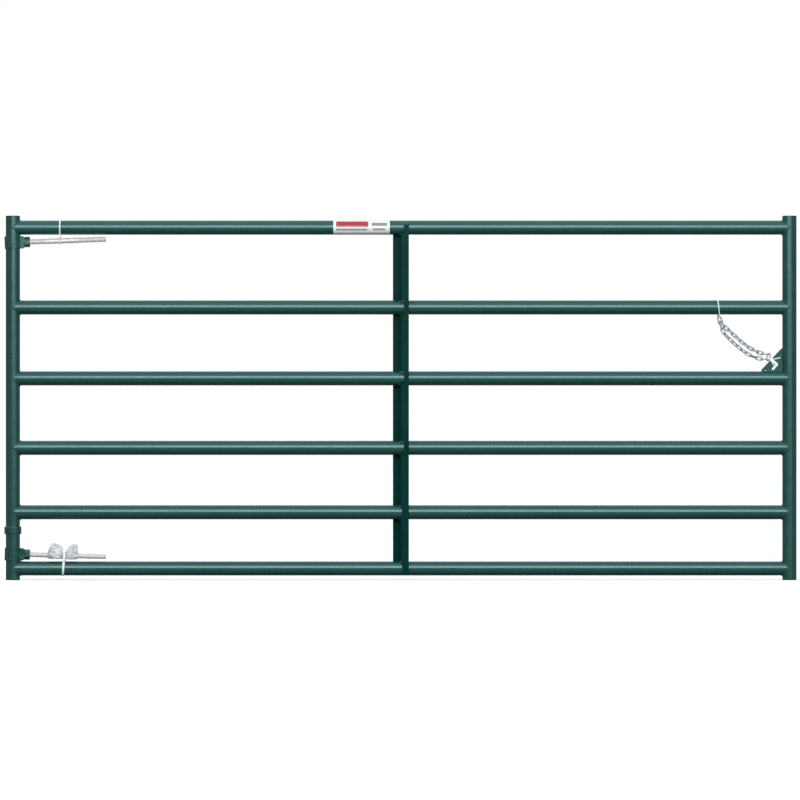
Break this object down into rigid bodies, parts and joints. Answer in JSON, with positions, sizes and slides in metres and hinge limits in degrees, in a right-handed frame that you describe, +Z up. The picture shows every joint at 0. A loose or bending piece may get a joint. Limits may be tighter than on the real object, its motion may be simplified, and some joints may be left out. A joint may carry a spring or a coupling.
{
  "type": "livestock panel gate",
  "caption": "Tube-rail livestock gate with round end uprights, a Z-section centre brace, strap hinges carrying threaded rods, a slotted latch gusset and a tied-up latch chain.",
  "frame": {"origin": "foot of the hinge upright, on its axis", "axes": "+X along the gate from hinge upright to latch upright, +Y to the back, +Z up"},
  "size_m": [2.8339, 0.061, 1.303],
  "materials": {
    "green_paint": "semi-gloss",
    "plug_plastic": "satin",
    "tie_nylon": "satin",
    "label_vinyl": "gloss",
    "zinc": "satin",
    "chain_zinc": "bright",
    "bag_film": "gloss"
  },
  "bodies": {
    "gate_frame": {"hinge_upright": "green_paint", "hinge_upright_top_plug": "plug_plastic", "hinge_upright_foot_plug": "plug_plastic", "latch_upright": "green_paint", "latch_upright_top_plug": "plug_plastic", "latch_upright_foot_plug": "plug_plastic", "rail_1": "green_paint", "rail_2": "green_paint", "rail_3": "green_paint", "rail_4": "green_paint", "rail_5": "green_paint", "rail_6": "green_paint", "z_brace": "green_paint", "latch_gusset": "green_paint", "hinge_stop_ring": "green_paint", "rail_label": "label_vinyl", "upper_rod_tie": "tie_nylon", "lower_rod_tie": "tie_nylon", "chain_rail_tie": "tie_nylon", "chain_gusset_tie": "tie_nylon"},
    "upper_hinge": {"upper_hinge_strap": "green_paint", "upper_hinge_nut": "green_paint"},
    "upper_rod": {"upper_hinge_rod": "zinc"},
    "lower_hinge": {"lower_hinge_strap": "green_paint", "lower_hinge_nut": "green_paint"},
    "lower_rod": {"lower_hinge_rod": "zinc", "hardware_bag": "bag_film", "spare_nuts": "zinc", "spare_washers": "zinc"},
    "latch_chain": {"chain_upper_strand": "chain_zinc", "chain_lower_strand": "chain_zinc", "chain_fold_link": "chain_zinc"}
  },
  "joints": [
    {"name": "upper_hinge_swing", "type": "hinge", "parent": "gate_frame", "child": "upper_hinge", "pos_m": [0, 0, 1.2073], "axis": [0, 0, 1], "continuous": true, "deforming": ["upper_rod_tie"]},
    {"name": "upper_rod_screw", "type": "slide", "parent": "upper_hinge", "child": "upper_rod", "axis": [0.9994, 0, 0.0349], "range_m": [-0.0015, 0.018]},
    {"name": "lower_hinge_swing", "type": "hinge", "parent": "gate_frame", "child": "lower_hinge", "pos_m": [0, 0, 0.0924], "axis": [0, 0, 1], "continuous": true, "deforming": ["lower_rod_tie"]},
    {"name": "lower_rod_screw", "type": "slide", "parent": "lower_hinge", "child": "lower_rod", "axis": [0.9997, 0, -0.0262], "range_m": [-0.0015, 0.018], "deforming": ["lower_rod_tie"]},
    {"name": "chain_swing", "type": "hinge", "parent": "gate_frame", "child": "latch_chain", "pos_m": [2.5278, 0, 0.9359], "axis": [0.7847, 0, -0.6199], "range_deg": [-40, 40], "deforming": ["chain_rail_tie", "chain_gusset_tie"]}
  ]
}
